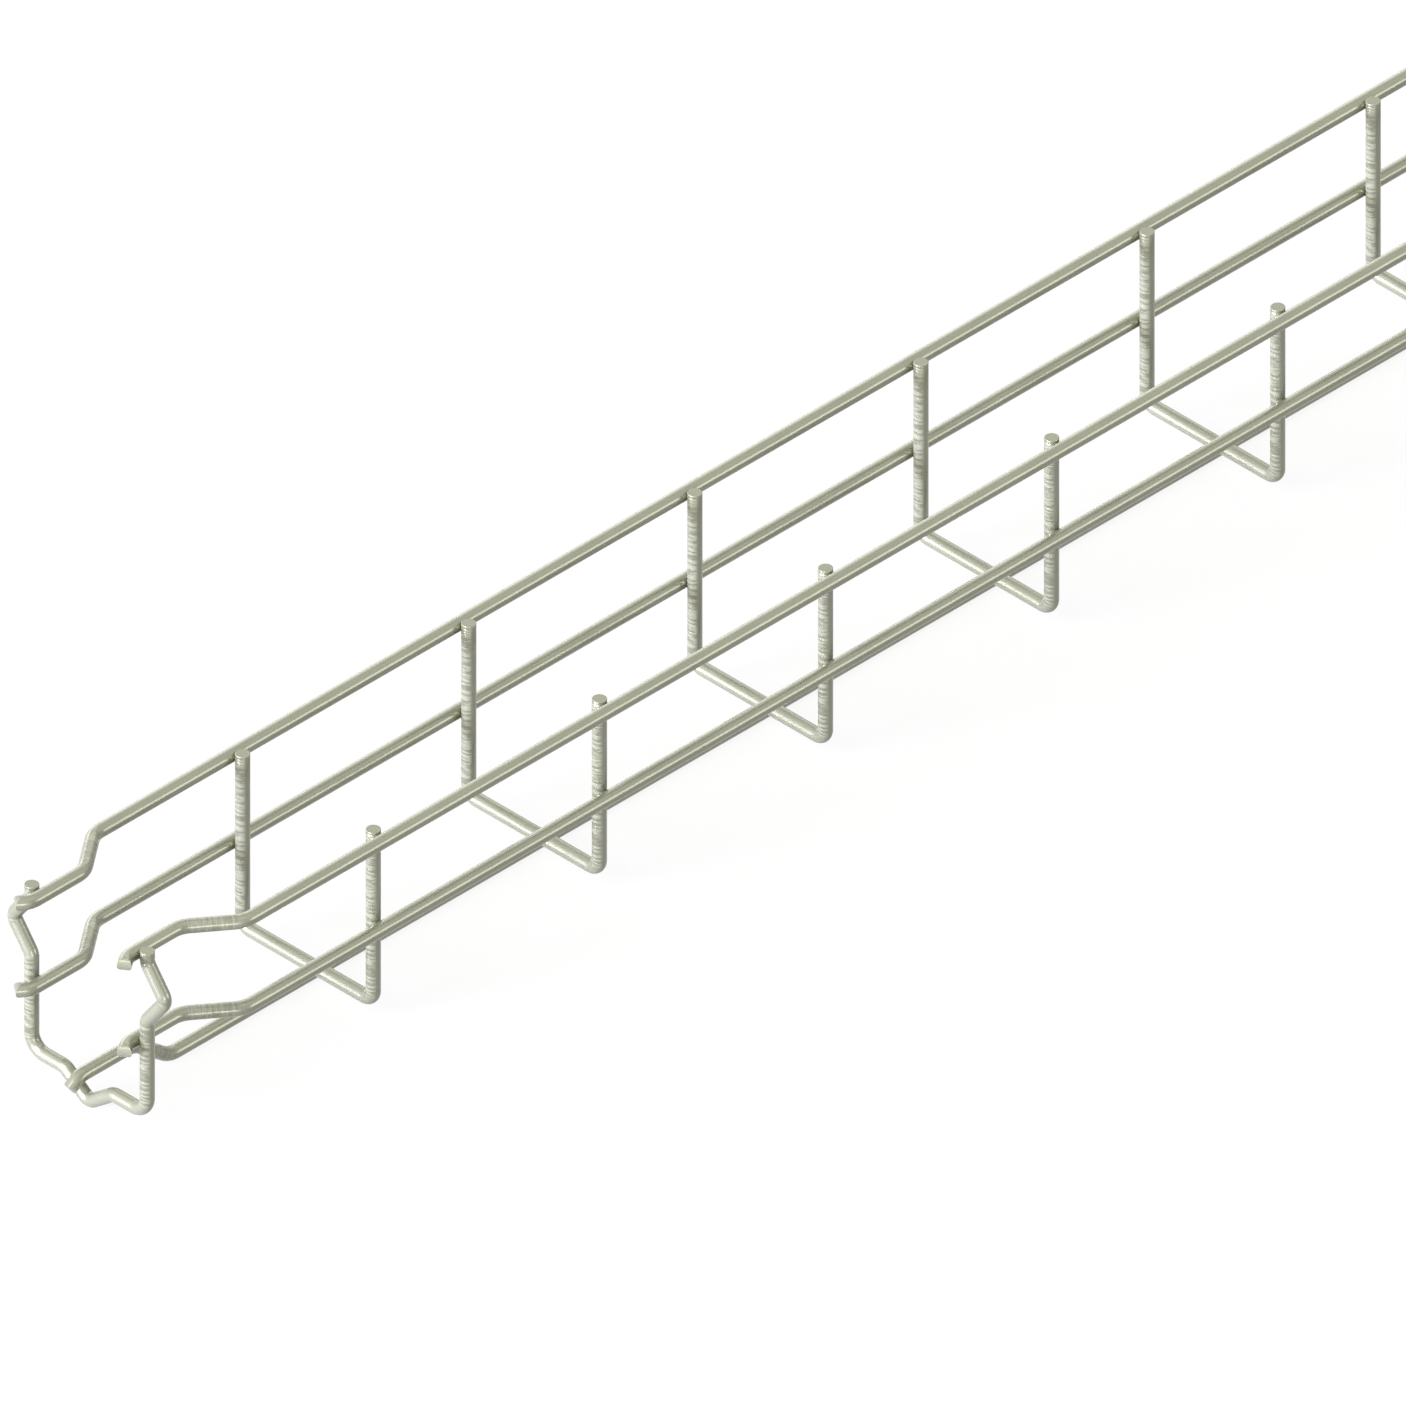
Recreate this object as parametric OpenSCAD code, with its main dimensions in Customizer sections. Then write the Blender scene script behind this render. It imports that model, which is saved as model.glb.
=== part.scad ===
// Wire mesh cable basket: one full length of welded cable basket, 50 mm class, with a coupling end.
// Five long wires run the whole length. U-shaped cross wires are welded inside them at an even pitch.
// At one end the long wires step inwards, so that this end slips inside the next length of basket.
//
// Frame: +X runs from the coupling end to the plain end, +Y to the left, +Z up.
// The origin is the middle of the whole length, on the level that the bottom wire rests on.

/* [Wire] */
// Diameter of every wire
wire_d = 4.8; // [4:0.1:5]
// How far two crossing wires are pressed into each other at a weld
weld_sink = 0.4; // [0.2:0.05:0.6]

/* [Basket] */
// Whole length of the basket
basket_len = 3050; // [1000:50:5000]
// Clear width between the legs of a cross wire
clear_w = 53; // [50:0.5:60]
// Clear depth from the floor of a cross wire to the tops of its legs
clear_h = 63.4; // [60:0.1:70]
// Centre-line radius of the two bends in a cross wire
bend_r = 3.9; // [3:0.1:8]
// How far the cut tops of the legs stand above the centre of the top long wires
leg_over = 2.4; // [1:0.1:4]
// Height from the low side wires to the top side wires, centre to centre
side_pitch = 33.3; // [30:0.1:36]

/* [Cross wires] */
// Distance from one plain cross wire to the next
cross_pitch = 100; // [60:5:150]
// Least length of the long wires past the last plain cross wire
end_over = 20; // [10:5:40]
// Distance from the coupling cross wire to the first plain one
coupling_pitch = 96.6; // [95:0.1:100]

/* [Coupling end] */
// How far the coupling cross wire is set in from the plain ones, all round
coupling_inset = 3.35; // [3:0.05:4]
// Centre-line radius of the two lower bends in the coupling cross wire
coupling_bend_r = 6; // [5:0.5:7]
// Distance from the first plain cross wire to the start of the step in the long wires
step_start = 61.6; // [58:0.1:64]
// Centre-line radius of the two bends of that step
step_r = 9.5; // [6:0.5:12]
// How much less the bottom wire steps in than the side wires
bottom_slack = 0.45; // [0:0.05:1]
// Distance from the coupling cross wire to the corner where the long wires' tips turn outwards
tip_gap = 4.8; // [4:0.1:6]
// Length of each turned-out tip, from its corner to the end of its rounded nose
tip_len = 5.1; // [5:0.05:7]
// Centre-line radius of the bend at each tip
tip_r = 7.5; // [4:0.5:7.5]

/* [Catches] */
// Distance from the top long wires down to the point of the outward V in each coupling leg
leg_v_drop = 13.2; // [12:0.1:18]
// How far that V reaches outwards, between sharp centre-line corners
leg_v_depth = 8.3; // [6:0.1:9]
// How far the V in the floor of the coupling cross wire reaches down, between sharp corners
floor_v_depth = 8; // [6:0.1:9]
// Centre-line radius of the bends beside each V
v_side_r = 4.5; // [3:0.5:6]
// Centre-line radius of the bend at the point of each V
v_point_r = 3.5; // [3:0.5:5]

/* [Hidden] */
$fn = 48;
wire_r = wire_d / 2;
// Slope of every step, tip and V: a 3-4-5 triangle
slope = atan2(3, 4);

// Centre to centre distance of two wires that are welded across each other
weld_gap = wire_d - weld_sink;
// Height of the floor run of the plain cross wires
floor_z = wire_r + weld_gap;
// Half distance between the legs of a plain cross wire
leg_y = clear_w / 2 + wire_r;
// Length of those legs, above the floor run's centre line
leg_h = wire_r + clear_h;

// The long wires lie outside the plain cross wires
side_y = leg_y + weld_gap;
top_z = floor_z + leg_h - leg_over;
low_z = top_z - side_pitch;

// The coupling cross wire is smaller all round, and the long wires lie inside it
step_in = 2 * weld_gap + coupling_inset;
coupling_leg_y = leg_y - coupling_inset;

// Stations along the length, measured from the first plain cross wire
tip_start = coupling_pitch + tip_gap;
tip_reach = tip_start + tip_len * cos(slope) + wire_r * sin(slope);
first_x = tip_reach - basket_len / 2;
plain_end = basket_len - tip_reach;
cross_count = 1 + floor((plain_end - end_over) / cross_pitch);

// A bent wire is a list of bends, each [straight before it, turn, centre-line radius], left turns
// positive, and ends with the last straight. cut() is what a bend takes off the straight on each side.
function cut(turn, r) = r * tan(abs(turn) / 2);

step_cut = cut(slope, step_r);
tip_cut = cut(slope, tip_r);
function long_bends(inwards) = [
    [plain_end + step_start - step_cut, slope, step_r],
    [inwards / sin(slope) - 2 * step_cut, -slope, step_r],
    [tip_start - step_start - inwards / tan(slope) - step_cut - tip_cut, -slope, tip_r],
    [tip_len - wire_r - tip_cut]
];

leg_straight = leg_h - cut(90, bend_r);
cross_bends = [
    [leg_straight, -90, bend_r],
    [2 * leg_y - 2 * cut(90, bend_r), -90, bend_r],
    [leg_straight]
];

// The point of a V is two bends of one slope each, so that each of its halves is a whole bend
v_cuts = cut(slope, v_side_r) + cut(2 * slope, v_point_r);
run_cuts = cut(slope, v_side_r) + cut(90, coupling_bend_r);
leg_v_side = leg_v_depth / sin(slope) - v_cuts;
leg_v_half = leg_v_depth / tan(slope);
leg_top_run = leg_over + leg_v_drop - leg_v_half - cut(slope, v_side_r);
leg_low_run = leg_h - leg_over - leg_v_drop - leg_v_half - coupling_inset - run_cuts;
floor_v_side = floor_v_depth / sin(slope) - v_cuts;
floor_run = coupling_leg_y - floor_v_depth / tan(slope) - run_cuts;
coupling_bends = [
    [leg_top_run, slope, v_side_r],
    [leg_v_side, -slope, v_point_r],
    [0, -slope, v_point_r],
    [leg_v_side, slope, v_side_r],
    [leg_low_run, -90, coupling_bend_r],
    [floor_run, slope, v_side_r],
    [floor_v_side, -slope, v_point_r],
    [0, -slope, v_point_r],
    [floor_v_side, slope, v_side_r],
    [floor_run, -90, coupling_bend_r],
    [leg_low_run, slope, v_side_r],
    [leg_v_side, -slope, v_point_r],
    [0, -slope, v_point_r],
    [leg_v_side, slope, v_side_r],
    [leg_top_run]
];

function cross_name(i) = str("cross_wire_", i < 10 ? "0" : "", i);

// All of space within reach that lies ahead of the YZ plane
module ahead(reach) {
    translate([0, -reach, -reach])
        cube([reach, 2 * reach, 2 * reach]);
}

// One bend, starting at the origin along +X: a ring of wire between two planes through its middle
module bend(turn, r) {
    translate([0, sign(turn) * r, 0])
        intersection() {
            rotate_extrude()
                translate([r, 0])
                    circle(d = wire_d);
            ahead(2 * r + wire_d);
            rotate([0, 0, turn])
                rotate([0, 0, 180])
                    ahead(2 * r + wire_d);
        }
}

// Places what follows a bend, in the frame where that bend ends
module after_bend(turn, r) {
    translate([0, sign(turn) * r, 0])
        rotate([0, 0, turn])
            translate([0, -sign(turn) * r, 0])
                children();
}

// A rounded end, starting at the origin along +X: the wire cut by a cylinder of its own size across it
module nose() {
    intersection() {
        rotate([0, 90, 0])
            cylinder(d = wire_d, h = wire_r);
        rotate([90, 0, 0])
            cylinder(d = wire_d, h = 2 * wire_d, center = true);
    }
}

// A wire from the origin along +X, bent in the XY plane, from bend i of its list to its end,
// where its children follow
module bent_wire(bends, i = 0) {
    run = bends[i][0];
    if (run > 0)
        rotate([0, 90, 0])
            cylinder(d = wire_d, h = run);
    translate([run, 0, 0])
        if (i + 1 < len(bends)) {
            bend(bends[i][1], bends[i][2]);
            after_bend(bends[i][1], bends[i][2])
                bent_wire(bends, i + 1)
                    children();
        } else
            children();
}

// A long wire at y and height z, made from its plain end, with its outward side turned about X by roll
module long_wire(y, z, roll, inwards = step_in) {
    color("#a8a890")
        translate([first_x + plain_end, y, z])
            rotate([roll, 0, 0])
                rotate([0, 0, 180])
                    bent_wire(long_bends(inwards))
                        nose();
}

// A wire bent in the plane across the basket, made from the top of its left leg
module across(x, y) {
    color("#a8a890")
        translate([first_x + x, y, floor_z + leg_h])
            rotate([90, 0, 90])
                rotate([0, 0, -90])
                    children();
}

module cross_wire(i) {
    across((i - 1) * cross_pitch, leg_y)
        bent_wire(cross_bends);
}

module coupling_cross_wire() {
    across(-coupling_pitch, coupling_leg_y)
        bent_wire(coupling_bends);
}

long_wire(side_y, top_z, 0);  // long_wire_top_left
long_wire(-side_y, top_z, 180);  // long_wire_top_right
long_wire(side_y, low_z, 0);  // long_wire_low_left
long_wire(-side_y, low_z, 180);  // long_wire_low_right
long_wire(0, wire_r, -90, step_in - bottom_slack);  // long_wire_bottom
coupling_cross_wire();
for (i = [1 : cross_count])
    cross_wire(i);
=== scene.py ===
# %% [markdown]
# # A welded wire cable basket
#
# The real thing is a straight length of cable basket: five long wires with U-shaped cross wires
# welded inside them. At one end the long wires step inwards and a smaller cross wire sits outside
# them, so that this end slips into the next length. Here every wire is swept again with a fine
# round section and a finish of drawn, galvanised steel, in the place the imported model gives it.

import bpy
import numpy as np
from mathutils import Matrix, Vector


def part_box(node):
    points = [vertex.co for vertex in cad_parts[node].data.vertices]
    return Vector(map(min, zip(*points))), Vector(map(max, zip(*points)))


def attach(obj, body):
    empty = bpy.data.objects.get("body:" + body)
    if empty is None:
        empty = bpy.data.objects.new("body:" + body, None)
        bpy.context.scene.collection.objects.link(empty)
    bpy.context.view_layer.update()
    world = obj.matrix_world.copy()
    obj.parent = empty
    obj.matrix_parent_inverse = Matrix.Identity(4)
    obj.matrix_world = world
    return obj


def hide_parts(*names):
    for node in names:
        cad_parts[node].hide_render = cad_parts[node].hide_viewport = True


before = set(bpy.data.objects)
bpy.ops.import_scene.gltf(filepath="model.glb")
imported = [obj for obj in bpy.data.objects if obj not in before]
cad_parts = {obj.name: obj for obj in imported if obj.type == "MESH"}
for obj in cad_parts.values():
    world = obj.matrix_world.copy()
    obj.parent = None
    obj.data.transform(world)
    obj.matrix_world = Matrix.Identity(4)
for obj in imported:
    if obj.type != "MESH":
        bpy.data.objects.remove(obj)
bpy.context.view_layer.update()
print("nodes in the frame:", len(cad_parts))

# %% [markdown]
# ## Sizes
#
# A wire is described as the bender would: a list of straights and turns. The driving sizes are the
# ones a maker would state, in metres. Places come from the frame, so that nothing is fitted by eye.

# %% Driving sizes, in metres
MM = 0.001
WIRE_R = 2.4 * MM
WELD_GAP = 4.4 * MM  # centre to centre of two wires welded across each other
SLOPE = np.arctan2(3, 4)  # slope of every step, tip and V

first = np.array(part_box("cross_wire_01")).mean(axis=0)
second = np.array(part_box("cross_wire_02")).mean(axis=0)
coupling = np.array(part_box("coupling_cross_wire")).mean(axis=0)
cross_low, cross_high = np.array(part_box("cross_wire_01"))
wire_ends = np.array(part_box("long_wire_top_left"))[:, 0]

first_x = first[0]
cross_pitch = second[0] - first[0]
coupling_x = coupling[0]
coupling_pitch = first_x - coupling_x
leg_y = cross_high[1] - WIRE_R
floor_z = cross_low[2] + WIRE_R
leg_h = cross_high[2] - floor_z
side_y = leg_y + WELD_GAP
top_z = np.array(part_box("long_wire_top_left")).mean(axis=0)[2]
low_z = np.array(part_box("long_wire_low_left")).mean(axis=0)[2]
print("first cross wire at x =", round(first_x, 5), "pitch", round(cross_pitch, 5))
print("leg y and height:", round(leg_y, 5), round(leg_h, 5))
print("side wires at z =", round(top_z, 5), "and", round(low_z, 5))


# %% [markdown]
# ## A bent wire
#
# A wire is bent cold round a pin, in one plane. Its centre line is a chain of straights and arcs
# that touch each other smoothly. `centre_line` turns the bender's list into rings: where each ring
# stands and which way the wire heads there. `wire_surface` then draws a circle round each ring.
# A curve object with a bevel would do too, but rings give control of the spacing, the cut ends and
# the coordinates that the finish follows.

# %% Centre line
BEND_STEP = np.radians(5)
STRAIGHT_STEP = 12 * MM


def centre_line(bends):
    """Rings along a wire: place in its own plane, heading angle and length from the start.

    A straight advances along the heading. A bend of turn t and radius r runs on a circle whose
    centre lies r to the left (or right) of the wire: its point after angle a is
    centre + r * (sin, -cos)(heading + a), and its length is r * a.
    """
    place, heading, length = np.zeros(2), 0.0, 0.0
    places, headings, lengths = [place[None]], [np.zeros(1)], [np.zeros(1)]
    for run, turn, radius in bends:
        if run > 0:
            steps = np.linspace(0, run, max(2, int(np.ceil(run / STRAIGHT_STEP)) + 1))[1:]
            ahead = np.array([np.cos(heading), np.sin(heading)])
            places.append(place + steps[:, None] * ahead)
            headings.append(np.full(len(steps), heading))
            lengths.append(length + steps)
            place, length = places[-1][-1], length + run
        if turn:
            side = np.sign(turn)
            turned = np.linspace(0, turn, int(np.ceil(abs(turn) / BEND_STEP)) + 1)[1:]
            centre = place + side * radius * np.array([-np.sin(heading), np.cos(heading)])
            angle = heading + turned
            spoke = np.stack([np.sin(angle), -np.cos(angle)], axis=1)
            places.append(centre + side * radius * spoke)
            headings.append(angle)
            lengths.append(length + radius * abs(turned))
            place, heading, length = places[-1][-1], angle[-1], lengths[-1][-1]
    return np.concatenate(places), np.concatenate(headings), np.concatenate(lengths)


# %% Surface round the centre line
SIDES = 40  # points round the wire, a multiple of four
CUT_EDGE = 0.15 * MM  # rounding that shears leave on the edge of a cut end
CUT_MID = 0.3  # its middle ring stands this share of it behind the cut, and is as much smaller


def wire_surface(bends, start, ahead, left, nose=False):
    """Points, tube, cut ends, nose faces, rim, unbent coordinates and ring headings of one wire.

    Ring i, angle a: centre_i + r_i * (cos a * beside_i + sin a * up), where beside_i is the heading
    turned a quarter and up is the normal of the wire's plane. At a cut end the ring is repeated
    with a smaller r_i, which rounds its edge, and a flat fan closes it. A nose has a rim instead,
    r * |cos a| further ahead: there the wire meets a cylinder of its own size laid across it, so
    lines between the rim points of equal sin a make the rounded nose. The unbent coordinates are
    (r cos a, r sin a, length), which is the same wire before it was bent.
    """
    ahead, left, start = (np.array(vector, float) for vector in (ahead, left, start))
    up = np.cross(ahead, left)
    flat, heading, length = centre_line(bends)

    back = np.array([1, CUT_MID, 0]) * CUT_EDGE  # how far the last rings stand behind the cut
    less = np.array([0, CUT_MID, 1]) * CUT_EDGE  # and how much smaller they are
    end_back, end_less = (np.zeros(2), np.zeros(2)) if nose else (back, less)
    middle = np.zeros(len(flat) - 2)
    last = len(flat) - 1
    row = np.concatenate([[0] * len(back), np.arange(1, last), [last] * len(end_back)]).astype(int)
    slide = np.concatenate([back[::-1], middle, -end_back])
    radius = WIRE_R - np.concatenate([less[::-1], middle, end_less])
    flat, heading, length = flat[row], heading[row], length[row] + slide

    angle = np.linspace(0, 2 * np.pi, SIDES, endpoint=False)
    cos, sin = np.cos(angle)[None, :, None], np.sin(angle)[None, :, None]
    along = np.cos(heading)[:, None] * ahead + np.sin(heading)[:, None] * left
    beside = -np.sin(heading)[:, None] * ahead + np.cos(heading)[:, None] * left
    push = np.zeros((len(flat), SIDES, 1))
    if nose:
        push[-1] = WIRE_R * np.abs(cos[0])
    centre = start + flat[:, :1] * ahead + flat[:, 1:] * left + slide[:, None] * along
    radius = radius[:, None, None]
    ring = centre[:, None] + radius * (cos * beside[:, None] + sin * up) + push * along[:, None]
    unbent = np.concatenate([radius * cos, radius * sin, length[:, None, None] + push], axis=2)

    index = np.arange(len(flat) * SIDES).reshape(-1, SIDES)
    points = np.concatenate([ring.reshape(-1, 3), centre[:1], centre[-1:]])
    unbent = np.concatenate([unbent.reshape(-1, 3), [[0, 0, length[0]], [0, 0, length[-1]]]])
    point_heading = np.concatenate([np.repeat(heading, SIDES), heading[[0, -1]]])
    if nose:
        tangent = SIDES // 4 * np.array([1, 3])  # the rim touches the last ring at these two points
        index[-1, tangent] = index[-2, tangent]
    beyond = np.roll(index, -1, axis=1)
    tube = np.stack([index[:-1], beyond[:-1], beyond[1:], index[1:]], axis=2).reshape(-1, 4)
    cuts = [np.stack([beyond[0], index[0], np.full(SIDES, len(points) - 2)], axis=1)]
    nose_faces = np.zeros((0, 4), int)
    if nose:
        lower = np.arange(-SIDES // 4, SIDES // 4)
        across = np.stack([lower, lower + 1, SIDES // 2 - lower - 1, SIDES // 2 - lower], axis=1)
        nose_faces = index[-1][across % SIDES]
    else:
        cuts.append(np.stack([index[-1], beyond[-1], np.full(SIDES, len(points) - 1)], axis=1))
    return points, tube, np.concatenate(cuts), nose_faces, index[-1], unbent, point_heading


# %% [markdown]
# ## Colours and nodes
#
# Colours are written as they are seen, in hex, and turned to linear light once. One helper adds a
# node, sets its fields and joins its inputs, so that a finish reads as a list of steps.

# %% Helpers for finishes
def colour(hex_code):
    """Linear RGBA of an sRGB hex code: the sRGB curve undone for each channel."""
    channels = np.array([int(hex_code[i:i + 2], 16) for i in (1, 3, 5)]) / 255
    linear = np.where(channels <= 0.04045, channels / 12.92, ((channels + 0.055) / 1.055) ** 2.4)
    return [*linear.tolist(), 1.0]


def add(tree, kind, inputs=None, **fields):
    """Adds a node, sets its fields, and joins or sets its inputs by name or number."""
    node = tree.nodes.new(kind)
    for name, value in fields.items():
        setattr(node, name, value)
    for name, value in (inputs or {}).items():
        if isinstance(value, bpy.types.NodeSocket):
            tree.links.new(value, node.inputs[name])
        else:
            node.inputs[name].default_value = value
    return node


MIX_A, MIX_B, MIX_RESULT = 6, 7, 2  # a Mix node's colour sockets, whose names its others share


def new_material(name):
    """An empty node material with its output node."""
    material = bpy.data.materials.new(name)
    material.use_nodes = True
    material.node_tree.nodes.clear()
    return material, material.node_tree, add(material.node_tree, "ShaderNodeOutputMaterial")


# %% [markdown]
# ## Galvanised drawn wire
#
# The wire is drawn through a die and then zinc plated. The plating is a dull, slightly yellow grey:
# part bare zinc crystals that mirror the room, part oxide that scatters light, so the metallic
# share is under a half. Drawing leaves faint lines along the wire. Where the bender's jaws gripped
# it, on the legs and on the steps, they left fine marks across it, drawn as bumps. Their light and
# dark lines are also painted into the colour as painted highlights and shade, which on the legs lie
# only on the lit side towards -X. Both patterns follow the wire, so they are read from its unbent
# coordinates, and their scales are real sizes.

# %% Finish of the wire
METALLIC = 0.45  # share of bare zinc among its oxide
DRAW_LINE = 1.2 * MM  # spacing of the drawing lines, coarser than the real 0.1 mm so that they show
DRAW_RUN = 60 * MM  # how far such a line runs
JAW_MARK = 0.7 * MM  # spacing of the jaws' teeth along the wire
JAW_WIDE = 6 * MM  # how far one tooth mark reaches round it
JAW_DEPTH = 0.2 * MM
# how much the painted highlights and shade of the jaw marks show in the colour
RIB_LIGHT_SHARE = 0.8  # how much the marks show in the colour
CRYSTAL = 5 * MM  # size of the patches in the zinc


def galvanised_wire():
    """Zinc patches, with the jaw marks' painted highlights and shade as light and dark lines, over a
    fine sheen.
    """
    material, tree, output = new_material("galvanised_drawn_wire")
    unbent = add(tree, "ShaderNodeAttribute", attribute_name="unbent").outputs["Vector"]
    marks_and_painted_light = add(tree, "ShaderNodeAttribute", attribute_name="marks_and_painted_light").outputs["Fac"]
    patterns = []  # noise whose grains have these sizes round the wire, twice, and along it
    for grain in ((DRAW_LINE, DRAW_LINE, DRAW_RUN),
                  (JAW_WIDE, JAW_WIDE, JAW_MARK),
                  (CRYSTAL, CRYSTAL, 3 * CRYSTAL)):
        scaled = add(tree, "ShaderNodeMapping", {
            "Vector": unbent, "Scale": [1 / length for length in grain]})
        noise = add(tree, "ShaderNodeTexNoise", {
            "Vector": scaled.outputs[0], "Scale": 1.0, "Detail": 2.0})
        patterns.append(noise.outputs[0])
    lines, marks, crystals = patterns

    patches = add(tree, "ShaderNodeMapRange", {
        "Value": crystals, "From Min": 0.35, "From Max": 0.65})
    zinc = add(tree, "ShaderNodeMix", {
        "Factor": patches.outputs[0], MIX_A: colour("#8E8F7E"), MIX_B: colour("#929381")},
        data_type="RGBA")
    # painted highlights and shade: the jaw marks' light and dark lines, mixed into the colour where
    # the mask is set
    rib_light_lines = add(tree, "ShaderNodeMapRange", {
        "Value": marks, "From Min": 0.43, "From Max": 0.57})
    painted_rib_light_and_shade = add(tree, "ShaderNodeMix", {
        "Factor": rib_light_lines.outputs[0], MIX_A: colour("#7A7B6A"), MIX_B: colour("#A7A895")},
        data_type="RGBA")
    painted_rib_share = add(tree, "ShaderNodeMath", {0: marks_and_painted_light, 1: RIB_LIGHT_SHARE}, operation="MULTIPLY")
    tint = add(tree, "ShaderNodeMix", {
        "Factor": painted_rib_share.outputs[0], MIX_A: zinc.outputs[MIX_RESULT],
        MIX_B: painted_rib_light_and_shade.outputs[MIX_RESULT]}, data_type="RGBA")
    rough = add(tree, "ShaderNodeMapRange", {"Value": lines, "To Min": 0.25, "To Max": 0.27})
    bump = add(tree, "ShaderNodeBump", {
        "Height": marks, "Distance": JAW_DEPTH, "Strength": marks_and_painted_light})
    shader = add(tree, "ShaderNodeBsdfPrincipled", {
        "Base Color": tint.outputs[MIX_RESULT], "Metallic": METALLIC,
        "Roughness": rough.outputs[0], "Normal": bump.outputs[0]})
    tree.links.new(shader.outputs[0], output.inputs["Surface"])
    return material


# %% Finish of the cut ends
SHEAR_GRAIN = 0.5 * MM  # size of the torn grains on a sheared end


def sheared_end():
    """A sheared face is torn, so it is rougher than the drawn side and shows small grains."""
    material, tree, output = new_material("sheared_wire_end")
    unbent = add(tree, "ShaderNodeAttribute", attribute_name="unbent").outputs["Vector"]
    grains = add(tree, "ShaderNodeTexNoise", {"Vector": unbent, "Scale": 1 / SHEAR_GRAIN})
    tint = add(tree, "ShaderNodeMix", {
        "Factor": grains.outputs[0], MIX_A: colour("#888977"), MIX_B: colour("#969783")},
        data_type="RGBA")
    shader = add(tree, "ShaderNodeBsdfPrincipled", {
        "Base Color": tint.outputs[MIX_RESULT], "Metallic": METALLIC, "Roughness": 0.5})
    tree.links.new(shader.outputs[0], output.inputs["Surface"])
    return material


wire_finish = galvanised_wire()
end_finish = sheared_end()
print("finishes:", wire_finish.name, "and", end_finish.name)


# %% [markdown]
# ## Making a piece
#
# Each wire becomes one mesh whose object sits at the origin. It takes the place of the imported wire
# of the same name, rides on the one body that the basket is, and takes the galvanised slot.

# %% Piece from a bender's list
def make_wire(node, bends, start, ahead, left, marks_and_painted_light, nose=False):
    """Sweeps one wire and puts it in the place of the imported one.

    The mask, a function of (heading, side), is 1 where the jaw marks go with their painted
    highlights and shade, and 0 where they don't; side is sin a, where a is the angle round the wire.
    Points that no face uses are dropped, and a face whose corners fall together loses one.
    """
    points, tube, cuts, nose_faces, rim, unbent, heading = wire_surface(
        bends, start, ahead, left, nose)
    faces = [*tube.tolist(), *nose_faces.tolist(), *cuts.tolist()]
    used = np.unique(np.concatenate([tube.ravel(), nose_faces.ravel(), cuts.ravel()]))
    place = np.full(len(points), -1)
    place[used] = np.arange(len(used))
    faces = [tuple(dict.fromkeys(place[face].tolist())) for face in faces]

    mesh = bpy.data.meshes.new(node + "_drawn")
    mesh.from_pydata(points[used].tolist(), [], faces)
    mesh.materials.append(wire_finish)
    mesh.materials.append(end_finish)
    is_cut = np.arange(len(faces)) >= len(faces) - len(cuts)
    mesh.polygons.foreach_set("use_smooth", ~is_cut)
    mesh.polygons.foreach_set("material_index", is_cut.astype(np.int32))
    mesh.attributes.new("unbent", "FLOAT_VECTOR", "POINT").data.foreach_set(
        "vector", unbent[used].ravel())
    mesh.attributes.new("marks_and_painted_light", "FLOAT", "POINT").data.foreach_set(
        "value", marks_and_painted_light(heading, unbent[:, 1] / WIRE_R)[used])
    if nose:
        on_rim = np.full(len(used), np.nan)
        on_rim[place[rim]] = np.arange(SIDES)
        ends = np.zeros(2 * len(mesh.edges), np.int32)
        mesh.edges.foreach_get("vertices", ends)
        apart = np.abs(np.diff(on_rim[ends.reshape(-1, 2)], axis=1)[:, 0])
        mesh.edges.foreach_set("use_edge_sharp", (apart == 1) | (apart == SIDES - 1))
    piece = bpy.data.objects.new(node + "_drawn", mesh)
    bpy.context.scene.collection.objects.link(piece)
    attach(piece, "root")
    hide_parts(node)


# %% [markdown]
# ## The long wires
#
# All five are bent alike: straight for almost the whole length, a step inwards, a short straight
# through the coupling end and a tip that turns outwards again. They are swept from the plain end,
# so ahead is -X, and left is inwards for each.

# %% Long wires
COUPLING_INSET = 3.35 * MM  # how much smaller the coupling cross wire is, all round
STEP_START = 61.6 * MM  # from the first plain cross wire
STEP_R = 9.5 * MM
STEP_IN = 2 * WELD_GAP + COUPLING_INSET
BOTTOM_SLACK = 0.45 * MM  # how much less the bottom wire steps in
TIP_GAP = 4.8 * MM  # from the coupling cross wire to the corner of the tip
TIP_LEN = 5.1 * MM  # with its rounded nose
TIP_R = 7.5 * MM


def cut(turn, radius):
    """Length that a bend takes off the straight on each side: r tan(turn / 2)."""
    return radius * np.tan(turn / 2)


def long_bends(step_in):
    """The bends of a long wire from its plain end: a step of step_in, then the tip."""
    step_cut, tip_cut = cut(SLOPE, STEP_R), cut(SLOPE, TIP_R)
    coupling_run = coupling_pitch + TIP_GAP - STEP_START - step_in / np.tan(SLOPE)
    return [
        (plain_end_x - first_x + STEP_START - step_cut, SLOPE, STEP_R),
        (step_in / np.sin(SLOPE) - 2 * step_cut, -SLOPE, STEP_R),
        (coupling_run - step_cut - tip_cut, -SLOPE, TIP_R),
        (TIP_LEN - WIRE_R - tip_cut, 0, 0),
    ]


def step_marks_and_painted_light(heading, side):
    """The jaw marks and their painted highlights and shade lie on the slope of the step, lightly:
    half the sine squared, 1/2 at full slope.
    """
    return 0.5 * np.clip(np.sin(heading) / np.sin(SLOPE), 0, 1) ** 2


plain_end_x = wire_ends[1]
for height, z in (("top", top_z), ("low", low_z)):
    for side, y, inwards in (("left", side_y, -1), ("right", -side_y, 1)):
        make_wire(f"long_wire_{height}_{side}", long_bends(STEP_IN), (plain_end_x, y, z),
                  (-1, 0, 0), (0, inwards, 0), step_marks_and_painted_light, nose=True)
make_wire("long_wire_bottom", long_bends(STEP_IN - BOTTOM_SLACK), (plain_end_x, 0, WIRE_R),
          (-1, 0, 0), (0, 0, 1), step_marks_and_painted_light, nose=True)
print("long wires end at x =", round(wire_ends[0], 5), "and", round(plain_end_x, 5))

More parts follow.
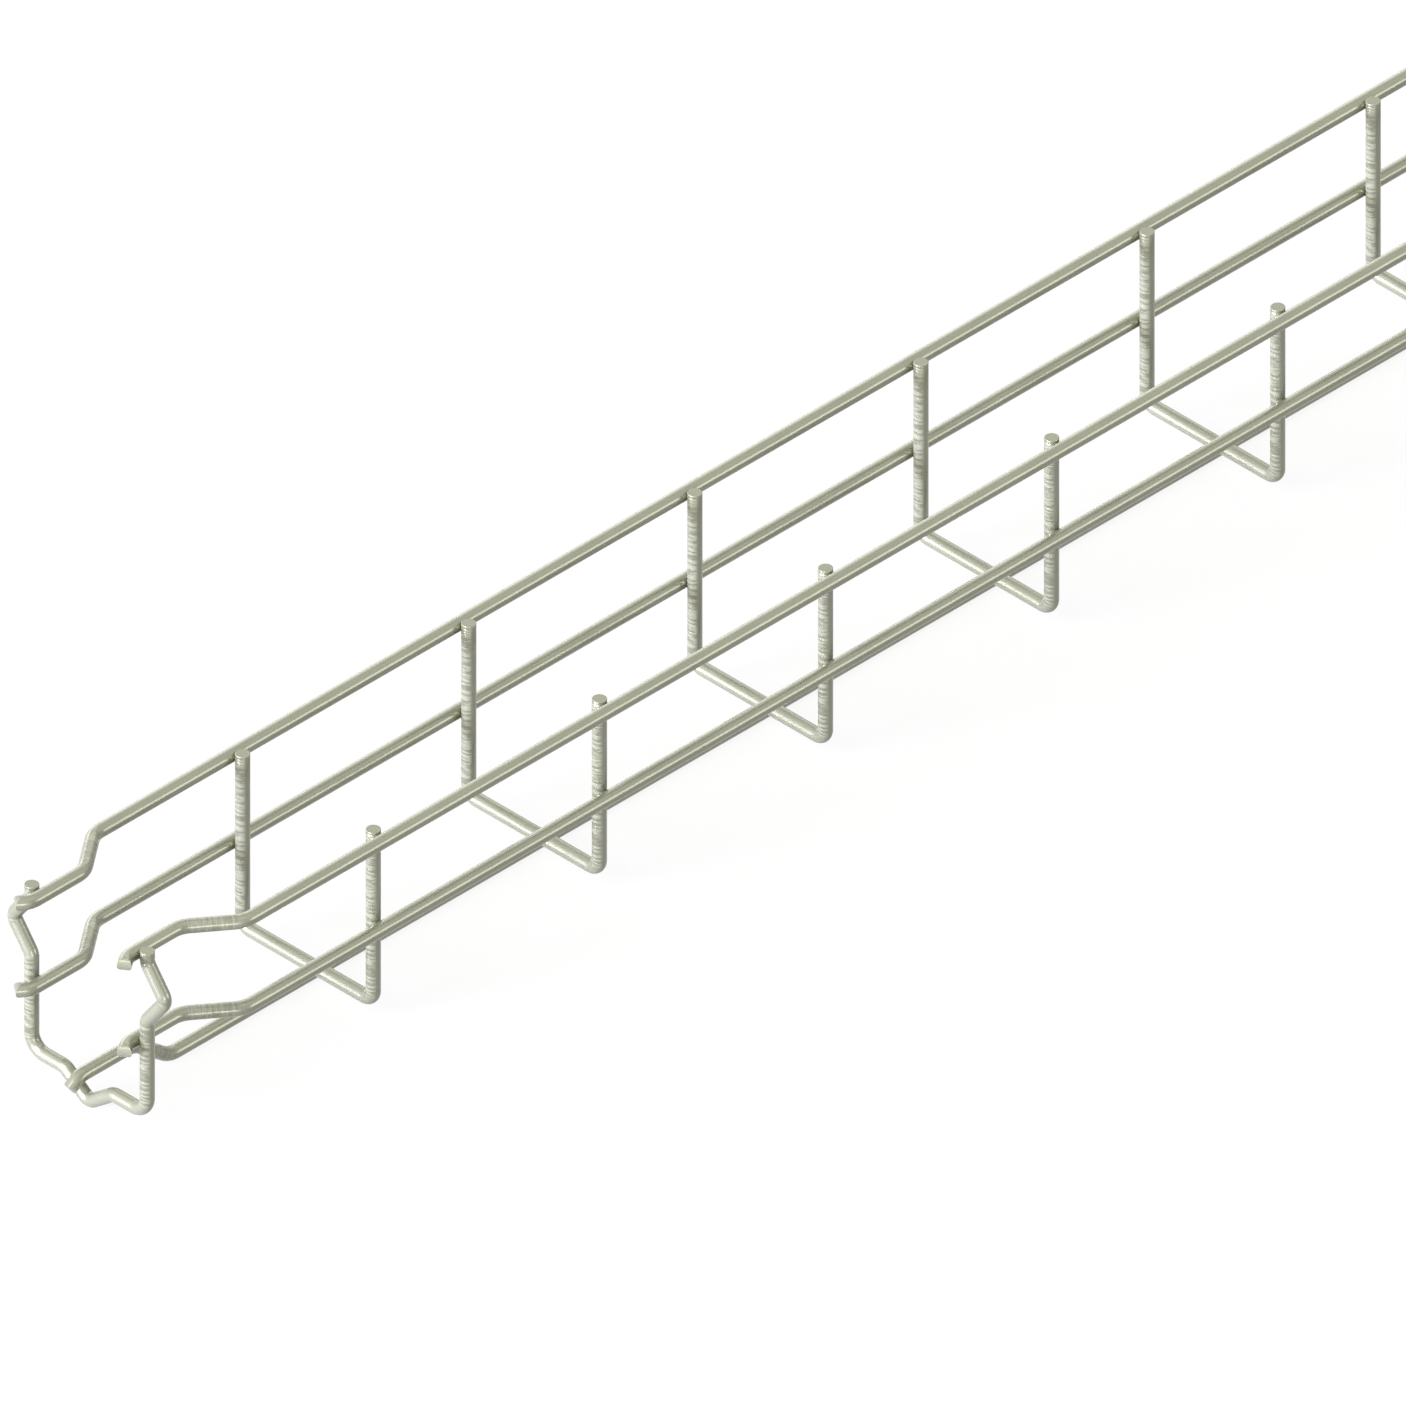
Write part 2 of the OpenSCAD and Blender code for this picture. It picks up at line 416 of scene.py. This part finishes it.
# %% [markdown]
# ## The cross wires
#
# A plain cross wire is a U: down the left leg, across the floor and up the right leg, with two
# right-angled bends. The coupling one is 3.35 mm smaller all round. Each of its legs and its floor
# has a V bent outwards, which catches on the next length.

# %% Plain cross wires
BEND_R = 3.9 * MM
quarter = np.pi / 2
leg_run = leg_h - cut(quarter, BEND_R)
cross_bends = [
    (leg_run, -quarter, BEND_R),
    (2 * leg_y - 2 * cut(quarter, BEND_R), -quarter, BEND_R),
    (leg_run, 0, 0),
]


def leg_marks_on_lit_side(heading, side):
    """The jaw marks and their painted highlights and shade go on the side towards -X of what stands
    upright, the side that the strongest lamps light.

    The first factor rises from 0 to 1 as cosine squared goes from 0.8 to 1, and the second as the
    wire's side turns from 0.3 to 0.7 towards -X.
    """
    upright = np.clip((np.cos(heading) ** 2 - 0.8) / 0.2, 0, 1)
    return upright * np.clip((-side - 0.3) / 0.4, 0, 1)


plain_wires = sorted(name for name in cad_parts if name.startswith("cross_wire_"))
for count, name in enumerate(plain_wires):
    start = (first_x + count * cross_pitch, leg_y, floor_z + leg_h)
    make_wire(name, cross_bends, start, (0, 0, -1), (0, 1, 0), leg_marks_on_lit_side)
print("plain cross wires:", len(plain_wires))

# %% Coupling cross wire
COUPLING_BEND_R = 6 * MM
LEG_V_DOWN = (2.4 + 13.2) * MM  # from the cut top of the leg to the point of its V
LEG_V_DEPTH = 8.3 * MM
FLOOR_V_DEPTH = 8 * MM
V_SIDE_R = 4.5 * MM
V_POINT_R = 3.5 * MM

v_cuts = cut(SLOPE, V_SIDE_R) + cut(2 * SLOPE, V_POINT_R)
run_cuts = cut(SLOPE, V_SIDE_R) + cut(quarter, COUPLING_BEND_R)
leg_v_side = LEG_V_DEPTH / np.sin(SLOPE) - v_cuts
leg_v_half = LEG_V_DEPTH / np.tan(SLOPE)
leg_top_run = LEG_V_DOWN - leg_v_half - cut(SLOPE, V_SIDE_R)
leg_low_run = leg_h - LEG_V_DOWN - leg_v_half - COUPLING_INSET - run_cuts
floor_v_side = FLOOR_V_DEPTH / np.sin(SLOPE) - v_cuts
floor_run = leg_y - COUPLING_INSET - FLOOR_V_DEPTH / np.tan(SLOPE) - run_cuts


def v_catch(run, side):
    """The bends of one outward V after a straight run: aside, back past the point, and aside."""
    return [(run, SLOPE, V_SIDE_R), (side, -2 * SLOPE, V_POINT_R), (side, SLOPE, V_SIDE_R)]


coupling_bends = [
    *v_catch(leg_top_run, leg_v_side),
    (leg_low_run, -quarter, COUPLING_BEND_R),
    *v_catch(floor_run, floor_v_side),
    (floor_run, -quarter, COUPLING_BEND_R),
    *v_catch(leg_low_run, leg_v_side),
    (leg_top_run, 0, 0),
]
coupling_start = (coupling_x, leg_y - COUPLING_INSET, floor_z + leg_h)
make_wire("coupling_cross_wire", coupling_bends, coupling_start, (0, 0, -1), (0, 1, 0),
          leg_marks_on_lit_side)
print("coupling cross wire at x =", round(coupling_x, 5))

# %% [markdown]
# ## Floor, light and camera
#
# The basket lies on a plain pale floor. To the eye and to reflections the floor and the room are
# white, but for scattered light the floor is a dark grey and the room is almost black, so that the
# undersides stay in shade. The light is a studio's: soft lamps stand round the basket just above
# the floor, where a wire mirrors them as a line along its flank, the strongest ones on the coupling
# side, and weaker ones hang higher. Sun lamps with a wide disc light the whole length alike.

# %% Floor
FLOOR_HALF = 30  # metres, so that its edge is far away in every view


def seen_directly(tree):
    """1 for camera, glossy and transmission rays, which show a surface, 0 for scattered light."""
    path = add(tree, "ShaderNodeLightPath").outputs
    seen = path["Is Camera Ray"]
    for ray in ("Is Glossy Ray", "Is Transmission Ray"):
        seen = add(tree, "ShaderNodeMath", {0: seen, 1: path[ray]}, operation="MAXIMUM").outputs[0]
    return seen


def white_floor():
    """A dark grey floor that takes shadows, with a white glow added where it is seen directly."""
    material, tree, output = new_material("white_floor")
    grey = add(tree, "ShaderNodeBsdfDiffuse", {"Color": colour("#585858")})
    glow = add(tree, "ShaderNodeEmission", {"Strength": 0.9})
    lit = add(tree, "ShaderNodeAddShader", {0: grey.outputs[0], 1: glow.outputs[0]})
    mixed = add(tree, "ShaderNodeMixShader", {
        0: seen_directly(tree), 1: grey.outputs[0], 2: lit.outputs[0]})
    tree.links.new(mixed.outputs[0], output.inputs["Surface"])
    return material


floor_mesh = bpy.data.meshes.new("floor")
corners = [(-1, -1), (1, -1), (1, 1), (-1, 1)]
floor_mesh.from_pydata(
    [(x * FLOOR_HALF, y * FLOOR_HALF, 0) for x, y in corners], [], [(0, 1, 2, 3)])
floor_mesh.materials.append(white_floor())
floor = bpy.data.objects.new("floor", floor_mesh)
bpy.context.scene.collection.objects.link(floor)
print("floor:", 2 * FLOOR_HALF, "m square")

# %% World
world = bpy.data.worlds.new("studio")
bpy.context.scene.world = world
world.use_nodes = True
world.node_tree.nodes.clear()
dim = add(world.node_tree, "ShaderNodeMapRange", {
    "Value": seen_directly(world.node_tree), "To Min": 0.04, "To Max": 1.0})
sky = add(world.node_tree, "ShaderNodeBackground", {
    "Color": colour("#FFFFFF"), "Strength": dim.outputs[0]})
add(world.node_tree, "ShaderNodeOutputWorld", {"Surface": sky.outputs[0]})
print("world:", world.name)


# %% Lamps
def soft_sun(name, azimuth, elevation, spread, strength, tone="#FFFFFF"):
    """A wide soft lamp far away, at the given angles in degrees round and above the basket.

    spread is the width of its disc, also in degrees. A white surface that faces a lamp of strength
    1 shows white, and for that its power per area is pi.
    """
    lamp = bpy.data.lights.new(name, "SUN")
    lamp.energy = np.pi * strength
    lamp.angle = np.radians(spread)
    lamp.color = colour(tone)[:3]
    turn, rise = np.radians(azimuth), np.radians(elevation)
    towards = Vector((np.cos(turn) * np.cos(rise), np.sin(turn) * np.cos(rise), np.sin(rise)))
    holder = bpy.data.objects.new(name, lamp)
    holder.rotation_mode = "QUATERNION"
    holder.rotation_quaternion = towards.to_track_quat("Z", "Y")
    bpy.context.scene.collection.objects.link(holder)


COOL = "#E2E4FF"  # daylight from the coupling side
soft_sun("coupling_side_low", 165, 3, 24, 4.1, COOL)
soft_sun("coupling_side_high", 165, 20, 36, 0.9)
soft_sun("coupling_end_high", 180, 40, 40, 0.65, "#FFFDE4")
soft_sun("right_side_low", 240, 3, 20, 0.22)
soft_sun("right_end_low", 301, 10, 28, 0.24)
soft_sun("plain_end_high", 325, 48, 56, 0.14)
soft_sun("left_side_low", 60, 5, 28, 0.18)
soft_sun("left_side_high", 30, 25, 40, 0.17)
print("lamps:", [light.name for light in bpy.data.lights])

# %% Camera
# A parallel view from an equal angle to all three axes, as on a drawing.
VIEW_WIDTH = 439.7 * MM
LOOK_AT = Vector((first_x + 186.9 * MM, 12.2 * MM, floor_z))  # near the second bay of the basket
VIEW_DISTANCE = 2  # metres
camera_data = bpy.data.cameras.new("camera")
camera_data.type = "ORTHO"
camera_data.ortho_scale = VIEW_WIDTH
camera_data.clip_end = 50
camera = bpy.data.objects.new("camera", camera_data)
back = Vector((-1, -1, 1)).normalized()
camera.location = LOOK_AT + VIEW_DISTANCE * back
camera.rotation_mode = "QUATERNION"
camera.rotation_quaternion = back.to_track_quat("Z", "Y")
bpy.context.scene.collection.objects.link(camera)
bpy.context.scene.camera = camera
bpy.context.scene.view_settings.view_transform = "Standard"
print("camera looks at", [round(value, 4) for value in LOOK_AT])
